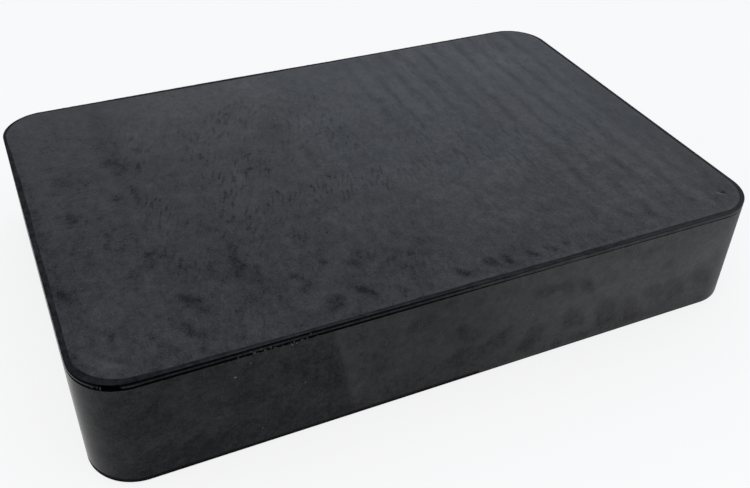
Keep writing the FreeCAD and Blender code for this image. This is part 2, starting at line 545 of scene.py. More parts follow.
TOP_MARKS = (
    Mark(-66.5, 1, 2.8, 1.8, 90, 0.6),
    Mark(-60.6, -0.4, 0.9, 0.9, 0, 0.5),
    Mark(-66, 15, 3.4, 2.6, 80, 0.35),
    Mark(-68, 23, 3.0, 2.2, 20, 0.3),
    Mark(-54.4, -16.8, 1.7, 1.2, 30, 0.7),
    Mark(-50.6, -18, 1.5, 0.9, -20, 0.45),
    Mark(-60.5, -9.5, 3.4, 1.3, 85, 0.45),
    Mark(-56.5, -20.5, 4.4, 1.6, 30, 0.35),
    Mark(-72, -24, 3.6, 1.6, 90, 0.5),
    Mark(-66, -37.5, 1.8, 1.2, 60, 0.4),
    Mark(-52, 6.2, 3.6, 0.9, 90, 0.35),
    Mark(-56, 6, 2.2, 1.0, 20, 0.3),
    Mark(-38.7, -22.5, 5.2, 1.4, 95, 0.42),
    Mark(-37.8, -30, 3.0, 2.4, 110, 0.38),
    Mark(-41.5, -27.5, 4.6, 3.4, 120, 0.28),
    Mark(-50, -34.5, 4.6, 1.7, 120, 0.5),
    Mark(-53, -41, 4.4, 1.2, 122, 0.55),
    Mark(-58.5, -42.5, 3.6, 1.1, 120, 0.35),
    Mark(-23, -32, 1.2, 0.9, 110, 0.8),
    Mark(-29.5, -36.2, 3.0, 1.4, 95, 0.55),
    Mark(-26.2, -44.4, 2.6, 1.8, 20, 0.5),
    Mark(-18.8, -43.6, 2.1, 0.9, 120, 0.8),
    Mark(-16, -34, 3.2, 2.4, 60, 0.35),
    Mark(-10, -36.5, 1.0, 0.9, 0, 0.5),
    Mark(-5.5, -35.5, 1.0, 0.8, 0, 0.45),
    Mark(1.2, -45.3, 2.1, 1.0, 140, 0.8),
    Mark(7.5, -45.4, 1.9, 1.2, 135, 0.7),
    Mark(11.5, -45.6, 1.6, 0.9, 130, 0.6),
    Mark(17.5, -46, 1.5, 0.8, 130, 0.6),
    Mark(21.5, -46, 1.3, 0.9, 140, 0.6),
    Mark(25.6, -46, 1.2, 0.8, 140, 0.55),
    Mark(44.4, -42, 2.8, 0.9, 95, 0.4),
    Mark(48.8, -43, 3.2, 1.0, 95, 0.22),
    Mark(-15, 21, 3.6, 3.0, 80, 0.22),
    Mark(-24.5, 5, 5.0, 3.4, 90, 0.25),
    Mark(-11, 6, 4.6, 1.2, 92, 0.35),
    Mark(-38.7, 2.5, 5.6, 1.6, 86, 0.25),
    Mark(-43.8, 6, 6.0, 0.9, 72, 0.25),
    Mark(-40, 27, 5.0, 1.2, 65, 0.25),
    Mark(-53, 32, 19, 3.2, 90, 0.38),
    Mark(-71.3, -41.5, 5.0, 0.5, 118, -0.5),
    Mark(-69.6, -42.6, 4.6, 0.35, 122, -0.4),
    Mark(-67.6, -44.6, 4.0, 0.45, 140, -0.5),
    Mark(-45, 14, 9, 5, 0, 0.15),
    Mark(-42, 33, 14, 6, 0, -0.16),
    Mark(-21, -5, 6, 6, 0, 0.2),
    Mark(-10, -15, 6, 5, 0, 0.15),
    Mark(0, 22, 13, 7, 0, -0.14),
    Mark(-10, -43, 6, 3, 0, -0.15),
    Mark(39, 4, 6, 7, 0, 0.18),
    Mark(60, -15, 5, 5, 0, 0.15),
    Mark(55, 32, 14, 7, 0, -0.14),
    Mark(36, -35, 9, 4, 0, 0.12),
    Mark(20, 46, 14, 5, 0, 0.13),
    Mark(-71, -29, 3, 10, 0, 0.2),
    Mark(-52, 18.5, 4.6, 3.2, 90, 0.3),
    Mark(-30, 42, 24, 8, 0, -0.24),
    Mark(-45, 28, 9, 8, 0, -0.12),
    Mark(-20, 15, 16, 4, 0, 0.1),
    Mark(-56, -4, 9, 5, 0, 0.12),
    Mark(21, -25, 6, 5, 0, 0.16),
    Mark(31, -2, 5, 8, 0, 0.13),
    Mark(50, -26, 8, 4, 0, 0.12),
)
print("marks on the work face:", len(TOP_MARKS))

# %% The marks on the front
FRONT_MARKS = (
    Mark(0.5, 7.2, 4.6, 2.7, 18, 0.55),
    Mark(8.5, 8.0, 4.4, 2.3, 28, 0.5),
    Mark(17.5, 6.2, 4.6, 2.5, 48, 0.45),
    Mark(28, 8.0, 3.6, 2.8, -40, 0.45),
    Mark(37, 6.6, 4.8, 2.8, -50, 0.42),
    Mark(43.5, 5.2, 4.6, 2.6, -50, 0.4),
    Mark(49, 8.5, 3.2, 2.2, -35, 0.35),
    Mark(55, 7.9, 4.2, 2.7, -50, 0.4),
    Mark(62.5, 9, 4.0, 2.5, -45, 0.35),
    Mark(-10, 20, 3.6, 1.8, 20, 0.25),
    Mark(-1, 14, 3.4, 2.0, 10, 0.35),
    Mark(3, 12, 3.2, 1.4, 0, 0.3),
    Mark(19, 19, 3.4, 1.6, -20, 0.3),
    Mark(24, 18, 2.6, 1.5, -40, 0.35),
    Mark(29.5, 16.7, 2.8, 1.5, -45, 0.4),
    Mark(45, 21, 2.8, 1.2, 30, 0.3),
    Mark(52, 15.7, 1.8, 1.4, 0, 0.3),
    Mark(-62, 6.5, 3.0, 0.9, 45, 0.5),
    Mark(-57, 6.8, 3.2, 0.9, 35, 0.6),
    Mark(-53.5, 5.0, 2.8, 0.8, 45, 0.6),
    Mark(-48, 7.0, 3.4, 1.0, 30, 0.6),
    Mark(-43.5, 4.6, 2.6, 0.8, 40, 0.6),
    Mark(-33, 14, 4.6, 1.6, -65, 0.35),
    Mark(-28.6, 15, 4.8, 1.2, -72, 0.6),
    Mark(-22.3, 8.4, 1.9, 0.5, 43, -0.35),
    Mark(-43, 5.4, 1.9, 0.5, 18, -0.6),
    Mark(-63.8, 9, 2.6, 0.6, 29, -0.35),
    Mark(-30, 3, 5, 2.4, 0, 0.75),
    Mark(-52, 3, 13, 2.2, 0, 0.35),
    Mark(-20, 11, 3, 5, 0, 0.3),
    Mark(-28, 18, 3, 4, 0, -0.35),
    Mark(-1, 22.5, 5, 2, 0, 0.25),
    Mark(40, 22.5, 5, 2, 0, 0.2),
    Mark(26, 17, 16, 3, 0, 0.12),
    Mark(40, 2.5, 14, 2, 0, 0.16),
    Mark(0, 2.5, 5, 1.6, 0, -0.2),
)
print("marks on the front:", len(FRONT_MARKS))

# %% Read the points of the slab and which face each lies on
TOP_REACH = 0.45
FRONT_REACH = -35
points = np.empty(len(slab.data.vertices) * 3)
slab.data.vertices.foreach_get("co", points)
points = points.reshape(-1, 3) / MM
x, y, z = points.T
positions = {"x": x, "y": y, "z": z, "slant": x + y / 2, "diagonal": x + y}
on_top = z > HEIGHT / MM - TOP_REACH
on_front = ~on_top & (y < FRONT_REACH)
print("points on the work face:", on_top.sum(), "on the front:", on_front.sum())


# %% Noise at every point
DRIFT_SIZE = 3.2
DRIFT_ON_TOP = 1.3
DRIFT_ON_WALLS = 0.8
SPECKLE_SIZE = 1.2
PATCH_SIZE = 9


def clouds(size, layer):
    """The same noise as cloud, at every point of the slab."""
    return np.array([cloud(point, size, layer) for point in points])


raggedness = np.where(on_top, DRIFT_ON_TOP, DRIFT_ON_WALLS)
drift_across = raggedness * clouds(DRIFT_SIZE, Layer.DRIFT_ACROSS)
drift_along = raggedness * clouds(DRIFT_SIZE, Layer.DRIFT_ALONG)
speckle = clouds(SPECKLE_SIZE, Layer.SPECKLE)
patches = clouds(PATCH_SIZE, Layer.PATCHES)
print(f"patches: {patches.min():.2f} to {patches.max():.2f}")

# %% Lay the marks down
MARK_RIM = (1.35, 0.55)


def mark_amount(mark, across, along):
    """How much of a mark lies at each point. Its rim is ragged."""
    turn = math.radians(mark.turn)
    ragged = min(1, mark.half_width)
    across = across + ragged * drift_across - mark.across
    along = along + ragged * drift_along - mark.along
    length = across * math.cos(turn) + along * math.sin(turn)
    width = along * math.cos(turn) - across * math.sin(turn)
    reach = np.hypot(length / mark.half_length, width / mark.half_width)
    return mark.strength * smooth_step(*MARK_RIM, reach)


wiped = np.zeros(len(points))
for mark in TOP_MARKS:
    wiped += on_top * mark_amount(mark, x, y)
for mark in FRONT_MARKS:
    wiped += on_front * mark_amount(mark, x, z)
print(f"wiped off by marks: {wiped.max():.2f} at most")

# %% [markdown]
# ### The roller bands
#
# Rubber is rolled into a sheet before it is pressed, and at the right of the work
# face run faint dark bands, all the same distance apart, as rollers leave them. They
# break up into streaks, end short of the near edge, and nearer the middle they show
# only at the back.
#
# A wave texture could draw them, but it has no ends and no gaps. Here the bands are
# a hump that repeats, times the place where they show, times streaks of noise drawn
# out along them.

# %% Wipe off the bands
BAND_PITCH = 5.75
BAND_START = 20
BAND_WANDER = 0.9
BAND_RAG = 0.3
BAND_SHARE = 0.34
HALF_PITCH = 0.5
BAND_LEVEL = 0.3
BAND_STRENGTH = 0.25
AT_THE_RIGHT = Fade("x", 30, 45)
AT_THE_BACK = Fade("y", -5, 20)
BAND_ENDS = (Fade("x", 4, 20), Fade("x", 71, 66), Fade("y", -48, -42))
STREAK_SIZE = 1.6
STREAK_STRETCH = 6
STREAK_STRENGTH = 1.6
STREAK_MOST = 2.5
band_phase = (x - BAND_START + BAND_WANDER * patches + BAND_RAG * drift_across) / BAND_PITCH
band_line = hump(0, BAND_SHARE, (band_phase + HALF_PITCH) % 1 - HALF_PITCH) - BAND_LEVEL
band_reach = faded(positions, AT_THE_RIGHT)
band_reach = band_reach + faded(positions, AT_THE_BACK) * (1 - band_reach)
stretched = points / (1, STREAK_STRETCH, 1)
streaks = np.array([cloud(point, STREAK_SIZE, Layer.STREAKS) for point in stretched])
streaks = np.clip(1 + STREAK_STRENGTH * streaks, 0, STREAK_MOST)
bands = BAND_STRENGTH * band_line * band_reach * faded(positions, *BAND_ENDS) * streaks
wiped += on_top * bands
print(f"bands: {BAND_PITCH} mm apart, {bands.max():.2f} wiped off at most")

# %% Limit what is wiped off
SPECKLE_STRENGTH = 0.4
WIPED_LEAST = -0.5
WIPED_MOST = 0.75
wiped = np.clip(wiped * (1 + SPECKLE_STRENGTH * speckle), WIPED_LEAST, WIPED_MOST)
print(f"wiped off: {wiped.min():.2f} to {wiped.max():.2f}")

# %% [markdown]
# ### How thick the bloom lies, and painted light in it
#
# The bloom is thickest to the right of the middle of the work face and thins out
# to the left and at both ends. On the front it starts at a slanting line a third of
# the way along: to the left of it the front was wiped, and it thickens from there
# to the right. The rises to the right, and towards the back of the work face, are
# partly painted light: they stand for brighter room and paper reflected on those
# sides. Low on the front the amount is painted thinner again, as painted shade
# near the paper.
#
# One amount for the whole block would make it look dipped in grey paint. So the
# amount is added up from broad shades, each with its place, and the marks are taken
# out of the sum.


# %% Broad changes of the bloom
class Shade(NamedTuple):
    """One broad change: how much it adds, and where it comes in."""

    amount: float
    fades: tuple


def shaded(shades):
    """The sum of these changes at every point of the slab."""
    return sum(shade.amount * faded(positions, *shade.fades) for shade in shades)


TOP_SHADES = (
    Shade(0.1, (Fade("y", 10, 30),)),
    Shade(0.1, (Fade("y", 32, 46), Fade("x", -70, -50))),
    Shade(-0.32, (Fade("x", 63, 71), Fade("y", 40, -10))),
    Shade(-0.22, (Fade("x", -70.5, -73),)),
)
# The rises to the right on the front are partly painted light, for brighter paper reflected there.
FRONT_SHADES = (
    Shade(0.66, (Fade("x", -10, 40),)),
    Shade(0.12, (Fade("x", 15, 45),)),
    Shade(0.2, (Fade("x", 45, 70),)),
    Shade(-0.12, (Fade("z", 17, 23), Fade("x", -5, 20))),
    Shade(-0.06, (Fade("x", -22, -10), Fade("z", 16, 12))),
)
print("shades:", len(TOP_SHADES), "on the work face,", len(FRONT_SHADES), "on the front")

# %% Bloom on the work face
HEART = (22, 8)
HEART_SHAPE = (0.8, 1.1)
HEART_RIM = (75, 25)
TOP_BLOOM = 0.8
HEART_BLOOM = 0.25
SLANT_BLOOM_AND_LIGHT = 0.35
SLANT_RISE = Fade("slant", -40, 60)
PATCH_BLOOM = 0.12
THICK_FROM = 0.85
THICKER = 0.36
from_heart = np.hypot(HEART_SHAPE[0] * (x - HEART[0]), HEART_SHAPE[1] * (y - HEART[1]))
top_bloom_and_light = TOP_BLOOM + HEART_BLOOM * smooth_step(*HEART_RIM, from_heart)
# The rise along the slant, to the right and back, is partly painted light, for a brighter room
# reflected there.
top_bloom_and_light += SLANT_BLOOM_AND_LIGHT * faded(positions, SLANT_RISE) + PATCH_BLOOM * patches
top_bloom_and_light += THICKER * np.maximum(top_bloom_and_light - THICK_FROM, 0) + shaded(TOP_SHADES)
print(f"bloom on the work face: mean {top_bloom_and_light[on_top].mean():.2f}")

# %% Bloom on the walls
ZONE_FOOT = -24
ZONE_LEAN = 4.5
ZONE_TALL = 26
ZONE_CURVE = 1.5
ZONE_RIM = (-0.7, 0.7)
ZONE_RAG = 0.6
FRONT_BLOOM = 0.28
ZONE_BLOOM = 0.28
SHADED_FOOT_SHARE = 0.5
FOOT_SHADE_FADE = Fade("z", 0, 9)
BACK_BLOOM = 0.6
BACK_PATCHES = 0.3
ROUND_THE_ENDS = Fade("y", -42, -30)
zone_edge = ZONE_FOOT - ZONE_LEAN * (z / ZONE_TALL) ** ZONE_CURVE
zone_rise = smooth_step(*ZONE_RIM, x - zone_edge + ZONE_RAG * drift_across)
front_bloom_and_light = FRONT_BLOOM + ZONE_BLOOM * zone_rise + shaded(FRONT_SHADES)
# Painted shade: low on the front the amount is painted thinner.
front_bloom_and_light *= SHADED_FOOT_SHARE + (1 - SHADED_FOOT_SHARE) * faded(positions, FOOT_SHADE_FADE)
back_bloom = BACK_BLOOM + BACK_PATCHES * patches
wall_bloom_and_light = front_bloom_and_light + (back_bloom - front_bloom_and_light) * faded(positions, ROUND_THE_ENDS)
bloom_and_light = np.where(on_top, top_bloom_and_light, wall_bloom_and_light) * (1 - wiped)
print(f"bloom on the front: mean {front_bloom_and_light[on_front].mean():.2f}")

# %% [markdown]
# ### The margin, the seams and the dent
#
# The margin and the band between the seams were touched by the trimming knife and
# carry little bloom. Along the crease of the margin a painted highlight is added,
# and the dent is painted darker with a paler lip. The seams and the foot of the
# walls are painted dark as painted shade, most of all at the left, and the lip over
# the upper seam gets a painted highlight.
#
# Shade like this could be found by ambient occlusion, a node that looks for corners,
# but it darkens all corners alike. The section of the edge is known here at every
# point, so the painted shade goes where the section says that a seam is.

# %% Where the margin and the seams are
RIM_FROM = 24


def wall_inset(point):
    """How far a point lies inside the outline, in millimetres."""
    centre, _ = outline_frame(point[0] * MM, point[1] * MM)
    return CORNER_RADIUS / MM - math.dist(point[:2], centre / MM)


inset = np.array([wall_inset(point) for point in points])
on_rim = (z > RIM_FROM) & (inset < MARGIN / MM)
crease = np.zeros(len(points))
foot = np.zeros(len(points))
for number in np.flatnonzero(on_rim):
    edge = edge_at(*outline_place(x[number] * MM, y[number] * MM))
    crease[number] = edge.bevel_inset / MM
    foot[number] = edge.bevel_foot / MM
print("points on the rim:", on_rim.sum())

# %% Painted shade in the seams
SEAM_MOUTH = (0.01, 0.035)
SEAMS_FROM = 24.3
FOOT_GAP = 0.02
LIT_MOUTH = (0.2, 0.08)
LIT_LEFT = 0.2
LIT_RIGHT = 0.35
LIT_RISE = Fade("x", -45, 10)
UPPER_LIT_LEFT = 0.22
UPPER_LIT_RIGHT = 0.28
UPPER_LIT_RISE = Fade("x", -40, 10)
# Painted shade: the seams are painted dark, less at their mouths and towards the right.
seam_shade = smooth_step(*SEAM_MOUTH, inset) * (z > SEAMS_FROM) * (z < foot - FOOT_GAP)
lit = LIT_LEFT + LIT_RIGHT * faded(positions, LIT_RISE)
seam_shade *= 1 - lit * smooth_step(*LIT_MOUTH, inset)
in_upper = z > (UPPER_SEAM + PARTING_HEIGHT) / 2 / MM
seam_shade *= 1 - in_upper * (UPPER_LIT_LEFT + UPPER_LIT_RIGHT * faded(positions, UPPER_LIT_RISE))
print("points in a seam:", (seam_shade > 0).sum())

# %% Painted shade round the foot, a painted highlight on the lip, and a rubbed end
UNDERSIDE = 0.02
BASE_SHADE = 0.9
BASE_SHADE_LESS = 0.65
BASE_SHADE_FADES = Fade("x", -10, 50)
BASE_RISE = Fade("z", 1.3, 0.6)
END_RUB = 0.35
END_RUB_AT = (Fade("x", -73, -74.2), Fade("y", -42, -30))
LIP_HIGHLIGHT = 0.9
LIP_REACH = 0.25
LIP_GAP = 0.01
LIP_RISE = Fade("x", -70, -50)
LIP_DULL = 0.7
LIP_DULL_AT = (32, 24)
# Painted shade at the foot of the walls, less of it towards the right.
base_shade = BASE_SHADE - BASE_SHADE_LESS * faded(positions, BASE_SHADE_FADES)
painted_light_and_rub = np.maximum(seam_shade, base_shade * (z > UNDERSIDE) * faded(positions, BASE_RISE))
painted_light_and_rub -= END_RUB * on_rim * (z > foot) * faded(positions, *END_RUB_AT)
# Painted highlight: the lip over the upper seam is painted paler, less so around x = 32 mm.
lit_lip = hump(0, LIP_REACH, inset) * on_rim * (z > foot - LIP_GAP) * faded(positions, LIP_RISE)
painted_light_and_rub -= LIP_HIGHLIGHT * lit_lip * (1 - LIP_DULL * hump(*LIP_DULL_AT, x))
print(f"grime: {painted_light_and_rub.min():.2f} to {painted_light_and_rub.max():.2f}")

# %% Bloom on the band, the underside, the crease and the dent
BAND_FROM = 24.8
BAND_BLOOM = 0.4
BAND_BLOOM_RIGHT = 0.2
BAND_RISE = Fade("x", -25, 25)
UNDERSIDE_BLOOM = 0.6
CREASE_HIGHLIGHT = 0.25
CREASE_REACH = (0.5, 0.6)
CREASE_RISE = Fade("x", -25, 5)
DENT_DARKENING = 0.3
DENT_LIP_PALER = 2.2
on_band = on_rim & ~on_top & (z > BAND_FROM)
on_underside = z < UNDERSIDE
band_bloom = BAND_BLOOM + BAND_BLOOM_RIGHT * faded(positions, BAND_RISE)
bloom_and_light = np.where(on_band, bloom_and_light * band_bloom, bloom_and_light)
bloom_and_light = np.where(on_underside, UNDERSIDE_BLOOM, bloom_and_light)
# Painted highlight along the crease of the margin, coming in towards the right.
crease_highlight = hump(*CREASE_REACH, inset - crease) * on_rim * on_top
bloom_and_light += CREASE_HIGHLIGHT * crease_highlight * faded(positions, CREASE_RISE)
pressed, raised = dent_at(x, y)
# The dent is painted darker and its lip paler.
dent_tone = 1 - DENT_DARKENING * pressed + DENT_LIP_PALER * raised
bloom_and_light = np.where(on_top, bloom_and_light * dent_tone, bloom_and_light)
print("points on the band:", on_band.sum(), "on the underside:", on_underside.sum())

# %% [markdown]
# ### How cloudy it is, how brown it has turned, and a painted tint
#
# The bloom is a little cloudy everywhere, more so on the work face than on the
# walls, and calmer where the roller bands show. The walls, all but the right end,
# are painted warmer than the work face: partly a painted reflection, as the work
# face reflects bluish light from above and the walls the neutral paper, and partly
# skin grease where hands have been. On the work face, grease has turned the bluish
# grey warmer at the left and in front.
#
# One strength of cloud and one tint would be simpler, but then both ends of the
# block would look alike. So two more amounts tell the finish how far each goes.

# %% Work out both
WALL_CLOUDY = 0.55
WALL_CLOUDIER = 0.28
WALL_CLOUDIER_AT = Fade("x", -10, 40)
TOP_CLOUDY = 1.05
TOP_CLOUDIER = 0.2
TOP_CLOUDIER_AT = Fade("slant", -40, 10)
TOP_CALMER = 0.4
TOP_CALMER_AT = Fade("diagonal", 25, 60)
mottling = WALL_CLOUDY + WALL_CLOUDIER * faded(positions, WALL_CLOUDIER_AT)
top_mottling = TOP_CLOUDY + TOP_CLOUDIER * faded(positions, TOP_CLOUDIER_AT)
top_mottling -= TOP_CALMER * faded(positions, TOP_CALMER_AT)
mottling = np.where(on_top | on_underside, top_mottling, mottling)

HANDLED_LEFT = Fade("x", 0, -25)
HANDLED_FRONT = Fade("y", -8, -28)
TOP_BROWN = 0.97
TOP_BROWN_LESS = 0.45
WALL_BROWN_AND_TINT = 0.75
WALL_BROWN_LESS = 0.7
WALL_BROWN_LESS_AT = Fade("x", 48, 62)
BROWN_SIZE = 13
BROWN_CLOUDS = 0.35
BROWN_PATCHES = 0.2
handled = np.maximum(faded(positions, HANDLED_LEFT), faded(positions, HANDLED_FRONT))
# The walls are painted warmer than the work face, partly as a painted reflection of the neutral
# paper.
wall_brown_and_tint = WALL_BROWN_AND_TINT - WALL_BROWN_LESS * faded(positions, WALL_BROWN_LESS_AT)
brown_and_reflected_tint = np.where(on_top, TOP_BROWN * handled - TOP_BROWN_LESS, wall_brown_and_tint)
brown_and_reflected_tint += BROWN_CLOUDS * clouds(BROWN_SIZE, Layer.BROWNED) + BROWN_PATCHES * patches
print(f"browned on the work face: mean {brown_and_reflected_tint[on_top].mean():.2f}")

# %% Store all four amounts as attributes of the slab
amounts = {"bloom_and_light": bloom_and_light, "painted_light_and_rub": painted_light_and_rub, "mottling": mottling, "brown_and_reflected_tint": brown_and_reflected_tint}
for name, amount in amounts.items():
    attribute = slab.data.attributes.new(name, "FLOAT", "POINT")
    attribute.data.foreach_set("value", amount)
    print(f"{name}: mean {amount.mean():.2f}, most {amount.max():.2f}")

# %% [markdown]
# ## The rubber
#
# Bare rubber of this kind is nearly black and shines a little. The bloom on it is a
# thin grey dust, bluish where it is fresh, and it is duller the thicker it lies. So
# one amount decides both colour and gloss: a smudge is darker and shinier.
#
# Noise alone could make a finish like this, but it knows nothing of where hands
# have been. So the amount comes from the attributes of the slab, which hold all
# that is larger than a cell. Noise in the finish adds what is finer: clouds of four
# sizes, and short flecks that a brush or a cloth left. They lie across the block at
# the left end, lean in the middle, and run along the roller bands at the right.


# %% A helper that adds nodes
class Nodes:
    """Adds nodes to one tree and wires them up."""

    def __init__(self, tree):
        self.tree = tree

    def feed(self, socket, value):
        """Give a socket a constant, or join it to the socket that feeds it."""
        if isinstance(value, bpy.types.NodeSocket):
            self.tree.links.new(value, socket)
        else:
            socket.default_value = value

    def add(self, kind, settings=None, **inputs):
        """Add a node. Underscores in the name of an input stand for spaces."""
        made = self.tree.nodes.new("ShaderNode" + kind)
        for name, value in (settings or {}).items():
            setattr(made, name, value)
        for name, value in inputs.items():
            self.feed(made.inputs[name.replace("_", " ")], value)
        return made

    def calc(self, operation, *values):
        """One step of arithmetic."""
        made = self.add("Math", {"operation": operation})
        for socket, value in zip(made.inputs, values):
            self.feed(socket, value)
        return made.outputs[0]

    def multiply(self, first, *others):
        """All these values, multiplied."""
        for value in others:
            first = self.calc("MULTIPLY", first, value)
        return first


print("one step of arithmetic is one Math node")


# %% A helper that mixes finishes from them
class Paint(Nodes):
    """Smooth changes, blends of colours and noise, each made of a few nodes."""

    # A Mix node has sockets for numbers, vectors and colours. These are for colours.
    FACTOR_SOCKET = 0
    FIRST_SOCKET = 6
    SECOND_SOCKET = 7
    COLOUR_OUTPUT = 2
    LAYER_SHIFT = (71, 37, 13)
    GRAIN_ROUGHNESS = 0.6
    MIDDLE_OF_NOISE = 0.5

    def ramp(self, value, start, end, first=0.0, last=1.0):
        """A smooth change from first to last as value goes from start to end."""
        made = self.add("MapRange", {"interpolation_type": "SMOOTHSTEP"}, Value=value)
        names = ("From Min", "From Max", "To Min", "To Max")
        for name, number in zip(names, (start, end, first, last)):
            made.inputs[name].default_value = number
        return made.outputs[0]

    def fade(self, axes, where, first=0.0, last=1.0):
        """The same from the start to the end of a Fade."""
        return self.ramp(axes[where.axis], where.start * MM, where.end * MM, first, last)

    def blend(self, factor, first, second):
        """A colour between two, which may go beyond the second."""
        made = self.add("Mix", {"data_type": "RGBA", "clamp_factor": False})
        self.feed(made.inputs[self.FACTOR_SOCKET], factor)
        self.feed(made.inputs[self.FIRST_SOCKET], first)
        self.feed(made.inputs[self.SECOND_SOCKET], second)
        return made.outputs[self.COLOUR_OUTPUT]

    def mottle(self, coordinates, size, detail, layer, lean=0):
        """Noise with grains of this size in millimetres, centred on zero.

        A lean turns the grains clockwise, seen from above, by that many degrees.
        """
        place = self.add("Mapping", {"vector_type": "TEXTURE"}, Vector=coordinates)
        place.inputs["Scale"].default_value = [MM * length for length in size]
        place.inputs["Rotation"].default_value = (0, 0, -math.radians(lean))
        place.inputs["Location"].default_value = [MM * layer * gap for gap in self.LAYER_SHIFT]
        grains = self.add("TexNoise", Vector=place.outputs[0], Scale=1.0, Detail=detail)
        grains.inputs["Roughness"].default_value = self.GRAIN_ROUGHNESS
        return self.calc("SUBTRACT", grains.outputs["Fac"], self.MIDDLE_OF_NOISE)

    def axes(self, coordinates):
        """The coordinates one by one, by the names of their axes."""
        return dict(zip("xyz", self.add("SeparateXYZ", Vector=coordinates).outputs))


rubber = bpy.data.materials.new("black_rubber")
rubber.use_nodes = True
shader = rubber.node_tree.nodes["Principled BSDF"]
paint = Paint(rubber.node_tree)
coordinates = paint.add("TexCoord").outputs["Object"]
axes = paint.axes(coordinates)
print("started the finish of the rubber")


# %% Clouds in the bloom
class Grain(NamedTuple):
    """One size of cloud, in millimetres, with its detail and its strength."""

    size: tuple
    detail: float
    strength: float


GRAINS = (
    Grain((0.35, 0.45, 0.35), 0.0, 0.85),
    Grain((0.9, 1.2, 0.9), 1.0, 0.7),
    Grain((2.4, 3.4, 2.4), 1.0, 0.9),
    Grain((14, 18, 9), 1.0, 0.7),
)
cloudy = 0.0
for layer, grain in enumerate(GRAINS):
    noisy = paint.mottle(coordinates, grain.size, grain.detail, layer)
    cloudy = paint.calc("MULTIPLY_ADD", noisy, grain.strength, cloudy)
print("sizes of cloud:", len(GRAINS))


# %% Flecks of four kinds
class Fleck(NamedTuple):
    """One kind of fleck: its size in millimetres, its lean and its strength."""

    size: tuple
    lean: float
    strength: float


FLECKS = (
    Fleck((3.4, 1.1, 1.0), 0, 0.6),
    Fleck((0.75, 3.2, 1.0), 20, 1.3),
    Fleck((0.9, 4.2, 1.2), 3, 0.9),
    Fleck((1.5, 0.5, 1.0), 0, 0.6),
)
FIRST_FLECK_LAYER = 6
FLECK_RISE = (0.07, 0.16)
kinds = []
for layer, fleck in enumerate(FLECKS, start=FIRST_FLECK_LAYER):
    noisy = paint.mottle(coordinates, fleck.size, 0.0, layer, fleck.lean)
    kinds.append(paint.ramp(noisy, *FLECK_RISE, 0.0, fleck.strength))
across, leaning, along, ticks = kinds
print("kinds of fleck:", len(kinds))

# %% Where each kind lies
CLUSTER_SIZE = (8, 11, 8)
CLUSTER_LAYER = 5
CLUSTER_RISE = (-0.1, 0.14, 0.2, 1.0)
IN_THE_MIDDLE = Fade("x", -58, -48)
TO_THE_RIGHT = Fade("x", -5, 25)
OFF_THE_BACK = Fade("y", 41, 33)
OFF_THE_LEFT = Fade("x", 2, 12)
FEWER_IN_FRONT = Fade("y", -28, -8)
FEWEST = 0.4
clusters = paint.ramp(paint.mottle(coordinates, CLUSTER_SIZE, 1.0, CLUSTER_LAYER), *CLUSTER_RISE)
middle = paint.fade(axes, IN_THE_MIDDLE)
right = paint.fade(axes, TO_THE_RIGHT)
flecks = paint.add("Mix", {"data_type": "FLOAT"}, Factor=middle, A=across, B=leaning).outputs[0]
flecks = paint.add("Mix", {"data_type": "FLOAT"}, Factor=right, A=flecks, B=along).outputs[0]
spread = paint.calc("MAXIMUM", paint.fade(axes, OFF_THE_BACK), paint.fade(axes, OFF_THE_LEFT))
in_front = paint.fade(axes, FEWER_IN_FRONT, FEWEST, 1.0)
flecks = paint.multiply(flecks, clusters, spread, in_front)
print("flecks come in clusters about", CLUSTER_SIZE[0], "mm wide")

# %% Add short ticks between the roller bands
TICKS_FROM = Fade("x", 33, 42)
TICKS_TO = Fade("x", 66, 58)
TICKS_IN_FRONT = Fade("y", -46, -34)
TICKS_BEHIND = Fade("y", 24, 12)
TICKS_MOST = 0.6
FLECK_DEPTH = -0.4
near_ticks = paint.multiply(
    paint.fade(axes, TICKS_FROM),
    paint.fade(axes, TICKS_TO),
    paint.fade(axes, TICKS_IN_FRONT, 0.0, TICKS_MOST),
    paint.fade(axes, TICKS_BEHIND),
)
flecks = paint.calc("MULTIPLY_ADD", ticks, near_ticks, flecks)
cloudy = paint.calc("MULTIPLY_ADD", flecks, FLECK_DEPTH, cloudy)
print("nodes so far:", len(rubber.node_tree.nodes))

# %% Mix the finish
BARE_RUBBER = (0.0014, 0.0018, 0.003, 1)
BLOOM = (0.0345, 0.036, 0.0375, 1)
BROWN_BLOOM = (0.0356, 0.0355, 0.0363, 1)
THICKEST = 1.5
BARE_ROUGHNESS = 0.24
BLOOM_ROUGHNESS = 0.52
RUBBER_SHINE = 0.08
BLOOM_RELIEF = 0.02 * MM
RELIEF_STRENGTH = 0.6
painted = paint.add("Attribute", {"attribute_name": "bloom_and_light"}).outputs["Fac"]
mottled = paint.add("Attribute", {"attribute_name": "mottling"}).outputs["Fac"]
covered = paint.calc("MAXIMUM", paint.calc("MULTIPLY_ADD", cloudy, mottled, painted), 0.0)
brown_and_tint_share = paint.add("Attribute", {"attribute_name": "brown_and_reflected_tint"}).outputs["Fac"]
# The warmer colour is partly brown bloom and partly a painted reflection.
bloom_colour = paint.blend(brown_and_tint_share, BLOOM, BROWN_BLOOM)
roughness = paint.ramp(covered, 0.0, THICKEST, BARE_ROUGHNESS, BLOOM_ROUGHNESS)
relief = paint.add("Bump", Strength=RELIEF_STRENGTH, Distance=BLOOM_RELIEF, Height=cloudy)
paint.feed(shader.inputs["Base Color"], paint.blend(covered, BARE_RUBBER, bloom_colour))
paint.feed(shader.inputs["Roughness"], roughness)
shader.inputs["Specular IOR Level"].default_value = RUBBER_SHINE
paint.feed(shader.inputs["Normal"], relief.outputs[0])
slab.data.materials.append(rubber)
print("rubber:", len(rubber.node_tree.nodes), "nodes")

